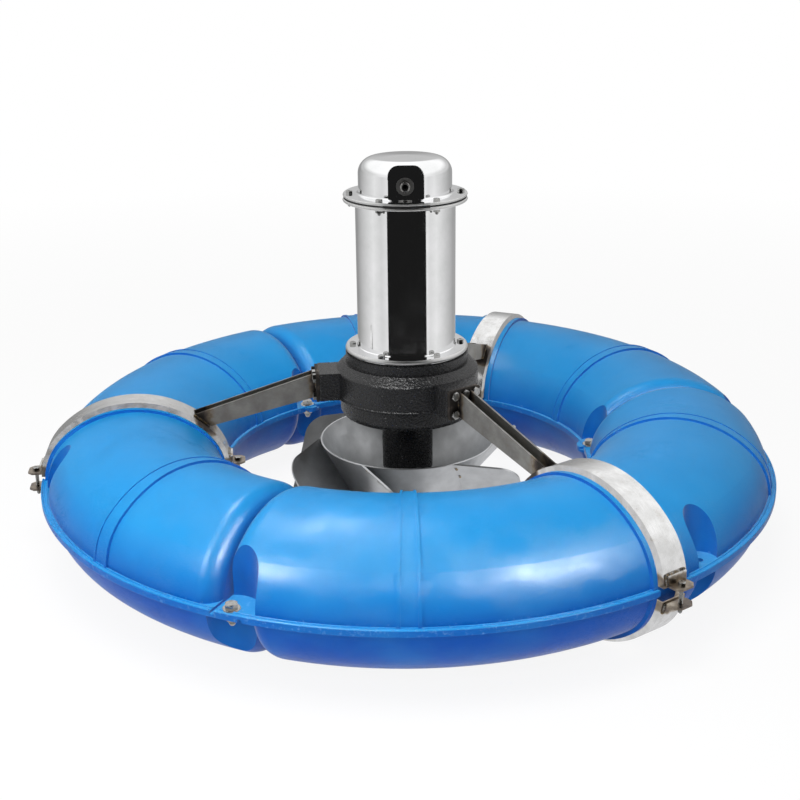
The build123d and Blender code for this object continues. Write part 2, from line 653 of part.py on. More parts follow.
def build():
    """Every piece of the aerator by the name of its node."""
    pieces = {}
    moulding = float_body()
    upper_band = band(1, upper_band_end)
    lower_band = band(-1, lower_band_end)
    arm_weldment = arm()
    for i, angle in enumerate(float_angles, start=1):
        turn = Rot(0, 0, angle)
        pieces[f"float_{i}"] = turn * moulding
        pieces[f"clamp_upper_{i}"] = turn * upper_band
        pieces[f"clamp_lower_{i}"] = turn * lower_band
        pieces[f"arm_{i}"] = turn * arm_weldment

    bolt_face, nut_face = lug_levels()
    web_offset = body_half_width + band_rise + lug_bolt_offset
    clamp_rs = (ring_r - web_offset, ring_r + web_offset)
    clamp_bolt = bolt(m6, bolt_face - nut_face + 12)
    clamp_nut = nut(m6, 5)
    pieces["clamp_bolts"] = around([Pos(r, 0, bolt_face) * clamp_bolt for r in clamp_rs], float_angles)
    pieces["clamp_nuts"] = around([Pos(r, 0, nut_face) * clamp_nut for r in clamp_rs], float_angles)
    joint_rs = (outer_bolt_ring_r, inner_bolt_ring_r)
    joint_angles = [angle + sector / 2 for angle in float_angles]
    joint_bolt = bolt(m10, 2 * lip + 16, washer_r)
    joint_nut = nut(m10, 8)
    pieces["float_bolts"] = around([Pos(r, 0, lip) * joint_bolt for r in joint_rs], joint_angles)
    pieces["float_nuts"] = around([Pos(r, 0, -lip) * joint_nut for r in joint_rs], joint_angles)
    plate_bolt = Rot(0, 90, 0) * bolt(m8, plate_sheet + 12)
    face_r = case_face_r + plate_sheet
    pieces["arm_bolts"] = around([Pos(face_r, y, z) * plate_bolt for y, z in plate_bolt_spots()], float_angles)

    pieces["gear_case"] = gear_case()
    pieces["gear_case_base"] = gear_case_base()
    gasket = ring(base_r, base_bore_r, base_top, case_joint_z)
    for angle in case_bolt_angles():
        gasket -= polar(case_bolt_ring_r, angle) * rod(m8[0] + hole_clearance, base_top, case_joint_z)
    pieces["case_gasket"] = gasket
    case_bolt = Rot(180, 0, 0) * bolt(m8, case_joint_z - case_bolt_seat + 14)
    pieces["case_bolts"] = around([Pos(case_bolt_ring_r, 0, case_bolt_seat) * case_bolt], case_bolt_angles())

    tube_inner_r = tube_r - tube_wall
    pieces["base_gasket"] = flange_ring(motor_flange_r, tube_inner_r, ledge_top, base_flange_bottom)
    pieces["motor_base_flange"] = flange_ring(motor_flange_r, tube_r, base_flange_bottom, base_flange_top)
    pieces["motor_tube"] = ring(tube_r, tube_inner_r, base_flange_bottom, tube_top)
    pieces["tube_top_flange"] = flange_ring(motor_flange_r, tube_r, top_flange_bottom, tube_top)
    pieces["cap_gasket"] = flange_ring(motor_flange_r, cap_r - cap_wall, tube_top, cap_flange_bottom)
    pieces["cap"] = cap()
    cap_bolt = bolt(m6, cap_flange_top - top_flange_bottom + 9)
    base_bolt = bolt(m6, base_flange_top - ledge_top + 8)
    on_flange = Pos(motor_bolt_ring_r, 0, 0)
    pieces["cap_bolts"] = around([Pos(0, 0, cap_flange_top) * on_flange * cap_bolt], motor_bolt_angles())
    pieces["cap_nuts"] = around([Pos(0, 0, top_flange_bottom) * on_flange * nut(m6, 5)], motor_bolt_angles())
    pieces["base_bolts"] = around([Pos(0, 0, base_flange_top) * on_flange * base_bolt], motor_bolt_angles())

    # Parts of the cable gland lie along z from the cap's wall outward, then turn to face the front.
    to_front = Pos(0, -cap_r, gland_z) * Rot(90, 0, 0)
    gland_body = rod(gland_collar_r, 0.8, 3.5) + rod(gland_thread_r, -8, 1)
    gland_body += rod(gland_nut_r + 2, 3, 4.5)
    gland_body -= rod(gland_nut_r - 1.5, -9, 6)
    pieces["gland_body"] = to_front * gland_body
    pieces["gland_nut"] = to_front * (rod(gland_nut_r, 4.5, 9.5) - rod(gland_cable_r + 2, 4, 10))
    pieces["gland_seal"] = to_front * (rod(gland_nut_r - 1.5, -6, 4.5) - rod(gland_cable_r, -7, 6))

    pieces["lower_end_shield"] = end_shield(
        lower_shield_z, lower_hub_z, lower_shield_z + shield_sheet, lower_hub_z
    )
    pieces["motor_lower_bearing"] = bearing(
        motor_shaft_r + running_fit, motor_bearing_r, motor_bearing_width, lower_hub_z
    )
    upper_seat = upper_shield_z + shield_sheet - motor_bearing_width
    pieces["upper_end_shield"] = end_shield(
        upper_shield_z, upper_shield_z - 8, upper_shield_z + shield_sheet, upper_seat
    )
    pieces["motor_upper_bearing"] = bearing(
        motor_shaft_r + running_fit, motor_bearing_r, motor_bearing_width, upper_seat
    )
    pieces["stator_core"] = ring(tube_inner_r, rotor_r + air_gap, core_bottom, core_top)
    end_turns = [
        ring(winding_outer_r, winding_inner_r, bottom, bottom + winding_height)
        for bottom in (core_bottom - winding_height, core_top)
    ]
    pieces["stator_windings"] = group(end_turns)
    pieces["motor_seal"] = ring(
        motor_seal_r, motor_shaft_r + running_fit, ledge_top - seal_width, ledge_top
    )

    pieces["rotor"] = ring(rotor_r, motor_shaft_r, core_bottom, core_top)
    toward_counter = Rot(0, 0, gear_az)
    pinion = toward_counter * gear(motor_pinion_teeth, profile_shift, first_stage_width, 3)
    pieces["motor_shaft"] = Pos(0, 0, first_stage_z) * pinion + rod(
        motor_shaft_r, first_stage_z + first_stage_width, motor_shaft_top
    )

    gap_turn = gear_az + 180 + 180 / counter_gear_teeth
    big_gear = Rot(0, 0, gap_turn) * gear(counter_gear_teeth, -profile_shift, first_stage_width, 2)
    big_gear -= rod(counter_shaft_r, -1, first_stage_width + 1)
    pieces["counter_gear"] = counter_spot * Pos(0, 0, first_stage_z) * big_gear
    gap_turn = gear_az + 180 + 180 / counter_pinion_teeth
    pinion = Rot(0, 0, gap_turn) * gear(counter_pinion_teeth, profile_shift, second_stage_width, 3)
    lower_seat = case_floor - counter_bearing_width
    shaft = rod(counter_shaft_r, lower_seat, roof_underside + counter_bearing_width - 1)
    pieces["counter_shaft"] = counter_spot * (Pos(0, 0, second_stage_z) * pinion + shaft)
    for name, seat in (("counter_lower_bearing", lower_seat), ("counter_upper_bearing", roof_underside)):
        pieces[name] = counter_spot * bearing(
            counter_shaft_r + running_fit, counter_bearing_r, counter_bearing_width, seat
        )

    output = toward_counter * gear(output_gear_teeth, -profile_shift, second_stage_width, 2)
    output -= rod(output_shaft_r, -1, second_stage_width + 1)
    pieces["output_gear"] = Pos(0, 0, second_stage_z) * output
    shaft_top = second_stage_z + second_stage_width + 4
    pieces["output_shaft"] = rod(output_shaft_r, wheel_bottom_z - hub_nut_height - shaft_end_gap, shaft_top)
    low_bearing_z = neck_bottom + seal_width
    pieces["output_lower_bearing"] = bearing(
        output_shaft_r + running_fit, output_bearing_r, output_bearing_width, low_bearing_z
    )
    pieces["output_upper_bearing"] = bearing(
        output_shaft_r + running_fit, output_bearing_r, output_bearing_width, case_floor - output_bearing_width
    )
    pieces["output_seal"] = ring(output_bearing_r, output_shaft_r + running_fit, neck_bottom, low_bearing_z)

    bowl = cone_solid(0) - cone_solid(wheel_sheet) - rod(output_shaft_r, wheel_bottom_z - 1, wheel_plate_top + 1)
    pieces["wheel_bowl"] = bowl
    hub = ring(hub_r, output_shaft_r, wheel_plate_top, hub_top)
    hub += ring(hub_flange_r, output_shaft_r, wheel_plate_top, wheel_plate_top + hub_flange_sheet)
    pieces["wheel_hub"] = hub
    hub_nut = hexagon(hub_nut_af, hub_nut_height) - rod(output_shaft_r, -1, hub_nut_height + 1)
    pieces["wheel_nut"] = Pos(0, 0, wheel_bottom_z - hub_nut_height) * hub_nut
    for i in range(blade_count):
        pieces[f"wheel_blade_{i + 1}"] = blade(blade_az + 360 / blade_count * i)
    return pieces


os.makedirs("parts", exist_ok=True)
for name, piece in build().items():
    export_step(piece, f"parts/{name}.step")
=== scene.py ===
import json
from collections import namedtuple
from math import atan2, ceil, cos, hypot, pi, radians, sin, sqrt, tan
from random import Random

import bmesh
import bpy
from mathutils import Matrix, Vector


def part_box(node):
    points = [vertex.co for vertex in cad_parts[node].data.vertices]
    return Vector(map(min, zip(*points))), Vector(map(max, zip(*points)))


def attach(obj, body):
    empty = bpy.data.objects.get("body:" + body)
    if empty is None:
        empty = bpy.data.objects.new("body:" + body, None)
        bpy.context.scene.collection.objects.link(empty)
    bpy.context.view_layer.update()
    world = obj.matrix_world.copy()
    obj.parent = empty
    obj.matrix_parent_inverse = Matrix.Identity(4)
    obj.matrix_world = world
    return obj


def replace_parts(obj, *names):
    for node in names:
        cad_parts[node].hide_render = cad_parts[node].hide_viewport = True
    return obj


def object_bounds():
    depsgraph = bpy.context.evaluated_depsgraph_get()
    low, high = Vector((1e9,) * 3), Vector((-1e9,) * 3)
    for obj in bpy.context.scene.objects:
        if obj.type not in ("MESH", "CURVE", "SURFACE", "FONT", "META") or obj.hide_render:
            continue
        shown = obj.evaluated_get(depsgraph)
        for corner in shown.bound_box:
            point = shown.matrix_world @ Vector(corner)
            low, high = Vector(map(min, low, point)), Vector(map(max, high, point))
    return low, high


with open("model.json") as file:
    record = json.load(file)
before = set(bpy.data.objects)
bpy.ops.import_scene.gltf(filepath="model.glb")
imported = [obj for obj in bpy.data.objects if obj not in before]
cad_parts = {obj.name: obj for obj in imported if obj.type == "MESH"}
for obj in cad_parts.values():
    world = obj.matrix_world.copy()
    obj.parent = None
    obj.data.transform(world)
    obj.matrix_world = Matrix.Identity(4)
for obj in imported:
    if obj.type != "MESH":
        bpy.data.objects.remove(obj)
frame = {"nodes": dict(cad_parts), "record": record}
cad_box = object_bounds()
nodes = frame["nodes"]

# The camera stands where the photograph's did
FOCAL_PIXELS = 1332.48
PHOTO_WIDTH = 800
SENSOR_MM = 36.0
CAMERA_SPOT = (0.0, -2.0843, 0.84475)
CAMERA_TURN = (70.3497, 0.6435, 0.0983)

# Float ring, in metres from the motor axis and the parting plane
FLOAT_AZ = [radians(-53.5 + 120.0 * i) for i in range(3)]
RING_R = 0.448
SECTION_R = 0.12
BODY_HALF_WIDTH = 0.141
BODY_HALF_HEIGHT = 0.114
FLANK_R = 0.095
LIP = 0.004
LIP_OUTER_R = 0.600
LIP_INNER_R = 0.300
LAP_ANGLE = radians(2.0)
END_GAP_ANGLE = radians(0.29)
GROOVE_HALF_WIDTH = 0.026
LIP_BEAD_R = 0.0015
LIP_STEP = 0.0085
BEAD_END_ANGLE = 0.003

# Clamps
BAND_RISE = 0.012
LUG_WIDTH = 0.034
LUG_LEG = 0.016
LUG_BOLT_OFFSET = 0.011
UPPER_LUG_FOOT = 0.008
LOWER_LUG_FOOT = -0.017
LUG_SHEET = 0.003

# Arms and their bolted end plates
ARM_HALF_WIDTH = 0.012
ARM_END_TOP = 0.0965
ARM_END_HEIGHT = 0.020
ARM_INNER_BOTTOM = 0.118
PLATE_FACE_R = 0.151
PLATE_Z = 0.13825
PLATE_BOLT_SIDE = 0.020
PLATE_BOLT_UP = 0.015

# Bolt circles
OUTER_JOINT_R = 0.583
INNER_JOINT_R = 0.313
MOTOR_BOLT_R = 0.088
MOTOR_BOLT_AZ = radians(3.0)
CASE_BOLT_R = 0.096
CASE_BOLT_AZ = radians(96.5)
CASE_BOLT_SINK = 0.0245

# Water wheel
RIM_R = 0.145
BOTTOM_R = 0.085
RIM_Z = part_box("wheel_bowl")[1][2]
BOTTOM_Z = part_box("wheel_bowl")[0][2]
BLADE_COUNT = 6
BLADE_SWEEP = radians(60.0)
BLADE_DROP = 0.11
BLADE_TWIST = radians(22.0)
BLADE_TWIST_DROP = 0.066
RIM_BEAD_R = 0.0017

# Motor
TUBE_R = 0.0795
CAP_R = 0.074
DRUM_R = 0.117
CABLE_BORE_R = 0.0052
CAP_FLANGE_SHEET = 0.004

# Hexagon fasteners: thread radius, width across flats, height of the head, thread pitch
Size = namedtuple("Size", "radius across head pitch")
M6 = Size(0.003, 0.010, 0.004, 0.001)
M8 = Size(0.004, 0.013, 0.0055, 0.00125)
M10 = Size(0.005, 0.016, 0.0065, 0.0015)
M6_NUT_HEIGHT = 0.005
M10_NUT_HEIGHT = 0.008
# A flat face ends at this share of the width across flats, and a 30 degree chamfer starts there
FACE_SHARE = 0.475
CHAMFER_SLOPE = tan(radians(30))
HEX_STEPS = 48
WASHER_R = 0.012
WASHER_SHEET = 0.002
WASHER_EDGE = 0.0004
# A thread has this many steps to a turn, and its depth is a share of its pitch
THREAD_STEPS = 14
THREAD_DEPTH = 0.62

# A weld bead's middle runs this far off the sheet, less than its radius, so it sinks in
WELD_GAP = 0.0004
WELD_RIPPLE = 0.0022
RIPPLE_STEPS = 4

# The dark panel that the polished steel mirrors. VIEW_LEVEL is how level the photograph's view
# is. The panel's middle and half width are tangents of the turns round the tube where it shows.
# Its foot and its crest are parts of a direction one unit long, upward and to the back.
VIEW_LEVEL = 0.98
PANEL_MIDDLE = 0.0255
PANEL_HALF_WIDTH = 0.4135
PANEL_FOOT = -0.318
PANEL_CREST = 0.30
PANEL_CORNER_DROP = 0.9
PANEL_CORNER_POWER = 6.0
PANEL_BLACK = (0.011, 0.011, 0.011, 1.0)
FLOOR_GLEAM = (0.72, 0.72, 0.73, 1.0)
SKY_GLEAM = (1.1, 1.1, 1.1, 1.0)
WHITE = (1.0, 1.0, 1.0, 1.0)

FLOOR_Z = cad_box[0][2]
FLOOR_HALF = 30.0
hand = Random(11)


def linear(code):
    """A colour code such as 2a8ee0 as linear red, green, blue and alpha."""
    parts = [int(code[i : i + 2], 16) / 255 for i in (0, 2, 4)]
    return tuple(p / 12.92 if p <= 0.04045 else ((p + 0.055) / 1.055) ** 2.4 for p in parts) + (1.0,)


def per(size_mm):
    """Pattern scale at which one feature is about this many millimetres long."""
    return 1000.0 / size_mm


def wire(tree, node, inputs):
    """Sets a node's inputs to values, or links them to other nodes' outputs."""
    for name, value in inputs.items():
        if isinstance(value, bpy.types.NodeSocket):
            tree.links.new(value, node.inputs[name])
        else:
            node.inputs[name].default_value = value


def add(tree, kind, inputs=None, stops=None, **settings):
    """Adds a node with its settings, its inputs and a ramp's stops, and gives its outputs."""
    node = tree.nodes.new("ShaderNode" + kind)
    for name, value in settings.items():
        setattr(node, name, value)
    wire(tree, node, inputs or {})
    if stops:
        elements = node.color_ramp.elements
        while len(elements) < len(stops):
            elements.new(0.5)
        for element, (position, colour) in zip(elements, stops):
            element.position = position
            element.color = colour if isinstance(colour, tuple) else (colour, colour, colour, 1.0)
    return [s for s in node.outputs if s.enabled]


def new_material(name):
    """A new material with its tree, its main shader and the place on the object in metres."""
    material = bpy.data.materials.new(name)
    material.use_nodes = True
    tree = material.node_tree
    return material, tree, tree.nodes["Principled BSDF"], add(tree, "TexCoord")[3]


def round_axis(tree, place):
    """The angle round the Z axis, the distance from it and the height."""
    x, y, z = add(tree, "SeparateXYZ", {0: place})
    flat = add(tree, "CombineXYZ", {0: x, 1: y})[0]
    angle = add(tree, "Math", {0: y, 1: x}, operation="ARCTAN2")[0]
    out = add(tree, "VectorMath", {0: flat}, operation="LENGTH")[0]
    return angle, out, z


def ring_skin(tree, place):
    """The float's skin laid flat, in metres: along the ring and round its section."""
    angle, out, z = round_axis(tree, place)
    along = add(tree, "Math", {0: angle, 1: RING_R}, operation="MULTIPLY")[0]
    offset = add(tree, "Math", {0: out, 1: RING_R}, operation="SUBTRACT")[0]
    turn = add(tree, "Math", {0: z, 1: offset}, operation="ARCTAN2")[0]
    across = add(tree, "Math", {0: turn, 1: SECTION_R}, operation="MULTIPLY")[0]
    return add(tree, "CombineXYZ", {0: along, 1: across})[0]


def inside(tree, value, low, high, soft):
    """1 between two limits, falling to 0 over a soft edge outside each."""
    rise = add(tree, "MapRange", {"Value": value, "From Min": low - soft, "From Max": low})[0]
    fall = add(tree, "MapRange", {"Value": value, "From Min": high + soft, "From Max": high})[0]
    return add(tree, "Math", {0: rise, 1: fall}, operation="MULTIPLY")[0]


def moulded_polyethylene():
    """Moulded polyethylene: satin, with painted light on top and painted shade underneath, and the mould's
    slanting tool grain.
    """
    material, tree, shader, place = new_material("moulded_polyethylene")
    skin = ring_skin(tree, place)
    facing = add(tree, "SeparateXYZ", {0: add(tree, "TexCoord")[1]})[2]
    painted_top_light = add(tree, "MapRange", {"Value": facing, "From Min": -0.2, "From Max": 0.75})[0]
    cloud = add(tree, "TexNoise", {"Vector": place, "Scale": per(110), "Detail": 3.0})[0]
    # Painted light and shade: the colour is painted lighter on faces turned up and darker on faces turned
    # down
    colour = add(tree, "Mix", {0: painted_top_light, 6: linear("0653b2"), 7: linear("1889cb")}, data_type="RGBA")[0]
    pale = add(tree, "ValToRGB", {0: cloud}, [(0.45, 0.0), (0.75, 0.22)])[0]
    colour = add(tree, "Mix", {0: pale, 6: colour, 7: linear("3aa0dc")}, data_type="RGBA")[0]

    # Grain lines 1.8 mm apart and 30 mm long, drawn coarser than the mould's so that they show
    slant = add(tree, "Mapping", {
        "Vector": skin, "Rotation": (0.0, 0.0, radians(-32)), "Scale": (per(30), per(1.8), 1.0)
    })[0]
    grain = add(tree, "TexNoise", {"Vector": slant, "Detail": 3.0, "Roughness": 0.6})[0]
    slant = add(tree, "Mapping", {
        "Vector": skin, "Rotation": (0.0, 0.0, radians(58)), "Scale": (per(7), per(1.5), 1.0)
    })[0]
    chatter = add(tree, "TexNoise", {"Vector": slant, "Detail": 2.0, "Roughness": 0.5})[0]
    chatter = add(tree, "ValToRGB", {0: chatter}, [(0.52, 0.0), (0.66, 1.0)])[0]
    region = add(tree, "TexNoise", {"Vector": place, "Scale": per(70), "Detail": 2.0})[0]
    region = add(tree, "ValToRGB", {0: region}, [(0.40, 0.15), (0.62, 1.0)])[0]
    chatter = add(tree, "Math", {0: chatter, 1: region}, operation="MULTIPLY")[0]

    # Fine scratches along the ring, and a lip rubbed pale where ropes and hands reach it
    drawn = add(tree, "Mapping", {"Vector": skin, "Scale": (per(60), per(2.2), 1.0)})[0]
    scratch = add(tree, "TexNoise", {"Vector": drawn, "Detail": 4.0, "Roughness": 0.7})[0]
    scratch = add(tree, "ValToRGB", {0: scratch}, [(0.66, 0.0), (0.74, 1.0)])[0]
    scratch = add(tree, "Math", {0: scratch, 1: region}, operation="MULTIPLY")[0]
    z = round_axis(tree, place)[2]
    lip = inside(tree, z, -LIP, LIP + 0.003, 0.002)
    rubbed = add(tree, "TexNoise", {"Vector": place, "Scale": per(6), "Detail": 4.0, "Roughness": 0.7})[0]
    rubbed = add(tree, "ValToRGB", {0: rubbed}, [(0.56, 0.0), (0.72, 0.22)])[0]
    rubbed = add(tree, "Math", {0: rubbed, 1: lip}, operation="MULTIPLY")[0]
    worn = add(tree, "Math", {0: scratch, 1: 0.16, 2: rubbed}, operation="MULTIPLY_ADD")[0]
    colour = add(tree, "Mix", {0: worn, 6: colour, 7: linear("9fd0f2")}, data_type="RGBA")[0]

    gloss = add(tree, "Math", {0: cloud, 1: 0.10, 2: 0.21}, operation="MULTIPLY_ADD")[0]
    gloss = add(tree, "Math", {0: grain, 1: 0.06, 2: gloss}, operation="MULTIPLY_ADD")[0]
    gloss = add(tree, "Math", {0: worn, 1: 0.2, 2: gloss}, operation="MULTIPLY_ADD")[0]
    dents = add(tree, "TexNoise", {"Vector": place, "Scale": per(45), "Detail": 2.0})[0]
    normal = add(tree, "Bump", {"Height": dents, "Distance": 0.0016, "Strength": 0.5})[0]
    normal = add(tree, "Bump", {"Height": grain, "Distance": 0.00026, "Strength": 0.5, "Normal": normal})[0]
    normal = add(tree, "Bump", {
        "Height": chatter, "Distance": 0.00016, "Strength": 0.7, "Normal": normal
    })[0]
    # A moulded skin's fine grain takes most of the mirror out of it, so the sheen is kept low
    wire(tree, shader, {
        "Base Color": colour, "Roughness": gloss, "Normal": normal, "IOR": 1.5, "Specular IOR Level": 0.13
    })
    return material


def heat_near_clamp_welds(tree, place):
    """Heat tint of a clamp: at its lugs, and where the arm's end is welded to it."""
    out, z = round_axis(tree, place)[1:]
    lugs = inside(tree, z, -0.028, 0.020, 0.007)
    near_arm = inside(tree, out, 0.20, 0.343, 0.010)
    arm_height = inside(tree, z, 0.072, 0.104, 0.012)
    arm_end = add(tree, "Math", {0: near_arm, 1: arm_height}, operation="MULTIPLY")[0]
    lugs = add(tree, "Math", {0: lugs, 1: 0.6}, operation="MULTIPLY")[0]
    return add(tree, "Math", {0: lugs, 1: arm_end}, operation="MAXIMUM")[0]


def heat_near_arm_welds(tree, place):
    """Heat tint of an arm: at its end plate and where it meets the clamp."""
    out = round_axis(tree, place)[1]
    plate = inside(tree, out, 0.150, 0.154, 0.013)
    end = inside(tree, out, 0.338, 0.40, 0.024)
    return add(tree, "Math", {0: plate, 1: end}, operation="MAXIMUM")[0]


def stainless(name, clean, dull, gloss, grain_mm, grain_depth, heat=None, lay=None):
    """Bare stainless steel: fine grain along one way, rolled-in blotches, and heat tint near its welds."""
    material, tree, shader, place = new_material(name)
    flat = lay(tree, place) if lay else place
    drawn = add(tree, "Mapping", {"Vector": flat, "Scale": tuple(per(size) for size in grain_mm)})[0]
    grain = add(tree, "TexNoise", {"Vector": drawn, "Detail": 4.0, "Roughness": 0.65})[0]
    blotch = add(tree, "TexNoise", {"Vector": place, "Scale": per(24), "Detail": 4.0, "Roughness": 0.6})[0]
    blotch = add(tree, "ValToRGB", {0: blotch}, [(0.35, 0.0), (0.68, 1.0)])[0]
    colour = add(tree, "Mix", {0: blotch, 6: linear(clean), 7: linear(dull)}, data_type="RGBA")[0]
    streak = add(tree, "ValToRGB", {0: grain}, [(0.38, 0.45), (0.60, 0.0)])[0]
    colour = add(tree, "Mix", {0: streak, 6: colour, 7: linear(dull)}, data_type="RGBA")[0]
    level = add(tree, "Math", {0: blotch, 1: 0.10, 2: gloss}, operation="MULTIPLY_ADD")[0]
    if heat:
        mask = heat(tree, place)
        edge = add(tree, "TexNoise", {"Vector": place, "Scale": per(12), "Detail": 4.0})[0]
        edge = add(tree, "Math", {0: edge, 1: 1.1, 2: -0.5}, operation="MULTIPLY_ADD")[0]
        mask = add(tree, "Math", {0: mask, 1: edge}, operation="ADD")[0]
        mask = add(tree, "Math", {0: mask, 1: 0.62}, operation="MULTIPLY", use_clamp=True)[0]
        tint = add(tree, "ValToRGB", {0: mask}, [
            (0.05, linear(clean)), (0.28, linear("a89c8a")),
            (0.50, linear("79706a")), (0.62, linear("55514e")),
        ])[0]
        share = add(tree, "MapRange", {"Value": mask, "From Min": 0.05, "From Max": 0.35})[0]
        colour = add(tree, "Mix", {0: share, 6: colour, 7: tint}, data_type="RGBA")[0]
        level = add(tree, "Math", {0: share, 1: 0.12, 2: level}, operation="MULTIPLY_ADD")[0]
    dents = add(tree, "TexNoise", {"Vector": place, "Scale": per(38), "Detail": 2.0})[0]
    normal = add(tree, "Bump", {"Height": dents, "Distance": 0.0010, "Strength": 0.5})[0]
    normal = add(tree, "Bump", {
        "Height": grain, "Distance": grain_depth, "Strength": 0.5, "Normal": normal
    })[0]
    wire(tree, shader, {"Base Color": colour, "Metallic": 1.0, "Roughness": level, "Normal": normal})
    return material


def polished_stainless():
    """Polished stainless tube and cap: a mirror with faint lines round it and dry water marks."""
    material, tree, shader, place = new_material("polished_stainless")
    drawn = add(tree, "Mapping", {"Vector": place, "Scale": (per(160), per(160), per(1.2))})[0]
    lines = add(tree, "TexNoise", {"Vector": drawn, "Detail": 3.0})[0]
    smudge = add(tree, "TexNoise", {"Vector": place, "Scale": per(42), "Detail": 4.0, "Roughness": 0.6})[0]
    smudge = add(tree, "ValToRGB", {0: smudge}, [(0.40, 0.0), (0.70, 1.0)])[0]
    colour = add(tree, "Mix", {0: smudge, 6: linear("f6f6f7"), 7: linear("eceded")}, data_type="RGBA")[0]
    gloss = add(tree, "Math", {0: smudge, 1: 0.05, 2: 0.03}, operation="MULTIPLY_ADD")[0]
    normal = add(tree, "Bump", {"Height": lines, "Distance": 0.00001, "Strength": 0.35})[0]
    wire(tree, shader, {"Base Color": colour, "Metallic": 1.0, "Roughness": gloss, "Normal": normal})
    return material


def painted_cast_iron():
    """Sand-cast iron under glossy black paint: a lumpy skin that sparkles where it faces the light."""
    material, tree, shader, place = new_material("painted_cast_iron")
    lumps = add(tree, "TexNoise", {"Vector": place, "Scale": per(3.2), "Detail": 3.0, "Roughness": 0.55})[0]
    grit = add(tree, "TexVoronoi", {"Vector": place, "Scale": per(2.1)}, feature="SMOOTH_F1")[0]
    waves = add(tree, "TexNoise", {"Vector": place, "Scale": per(22), "Detail": 2.0})[0]
    colour = add(tree, "Mix", {0: lumps, 6: linear("070708"), 7: linear("171719")}, data_type="RGBA")[0]
    dust = add(tree, "ValToRGB", {0: waves}, [(0.55, 0.0), (0.78, 0.35)])[0]
    colour = add(tree, "Mix", {0: dust, 6: colour, 7: linear("262628")}, data_type="RGBA")[0]
    gloss = add(tree, "Math", {0: lumps, 1: 0.22, 2: 0.16}, operation="MULTIPLY_ADD")[0]
    normal = add(tree, "Bump", {"Height": waves, "Distance": 0.0012, "Strength": 0.6})[0]
    normal = add(tree, "Bump", {"Height": lumps, "Distance": 0.0016, "Strength": 0.8, "Normal": normal})[0]
    normal = add(tree, "Bump", {"Height": grit, "Distance": 0.0007, "Strength": 0.6, "Normal": normal})[0]
    wire(tree, shader, {"Base Color": colour, "Roughness": gloss, "Normal": normal, "IOR": 1.52})
    return material


def mottled(name, low, high, gloss, metal, mottle_mm, depth):
    """A simple finish with a fine mottle in its colour, gloss and surface."""
    material, tree, shader, place = new_material(name)
    mottle = add(tree, "TexNoise", {"Vector": place, "Scale": per(mottle_mm), "Detail": 3.0})[0]
    colour = add(tree, "Mix", {0: mottle, 6: linear(low), 7: linear(high)}, data_type="RGBA")[0]
    level = add(tree, "Math", {0: mottle, 1: 0.14, 2: gloss - 0.07}, operation="MULTIPLY_ADD")[0]
    normal = add(tree, "Bump", {"Height": mottle, "Distance": depth, "Strength": 0.5})[0]
    wire(tree, shader, {"Base Color": colour, "Metallic": metal, "Roughness": level, "Normal": normal})
    return material


def weld_metal(name, low, high):
    """Stainless weld bead: dull silver with straw and blue-grey heat colours."""
    material, tree, shader, place = new_material(name)
    heat = add(tree, "TexNoise", {"Vector": place, "Scale": per(5), "Detail": 3.0})[0]
    colour = add(tree, "ValToRGB", {0: heat}, [
        (0.35, linear(low)), (0.50, linear(high)), (0.66, linear("a58f6c"))
    ])[0]
    pits = add(tree, "TexNoise", {"Vector": place, "Scale": per(0.9), "Detail": 2.0})[0]
    normal = add(tree, "Bump", {"Height": pits, "Distance": 0.0003, "Strength": 0.6})[0]
    wire(tree, shader, {"Base Color": colour, "Metallic": 1.0, "Roughness": 0.36, "Normal": normal})
    return material


def varnished_windings():
    """Varnished copper wire wound round the stator, strand beside strand, with painted shade between strands
    and a painted highlight on each.
    """
    material, tree, shader, place = new_material("varnished_copper")
    angle, out, z = round_axis(tree, place)
    along = add(tree, "Math", {0: angle, 1: 0.06}, operation="MULTIPLY")[0]
    unrolled = add(tree, "CombineXYZ", {0: along, 1: out, 2: z})[0]
    # The wave puts 3.2 strands into 9.4 mm, coarser than real wire so that they show
    wires = add(tree, "TexWave", {"Vector": unrolled, "Scale": per(9.4), "Distortion": 1.5})[1]
    # Painted shade and highlight: the colour is painted dark in the hollows between strands and bright on
    # their crests
    colour = add(tree, "ValToRGB", {0: wires}, [(0.2, linear("5a2410")), (0.8, linear("c2713a"))])[0]
    normal = add(tree, "Bump", {"Height": wires, "Distance": 0.0005, "Strength": 0.7})[0]
    wire(tree, shader, {"Base Color": colour, "Metallic": 1.0, "Roughness": 0.35, "Normal": normal})
    return material


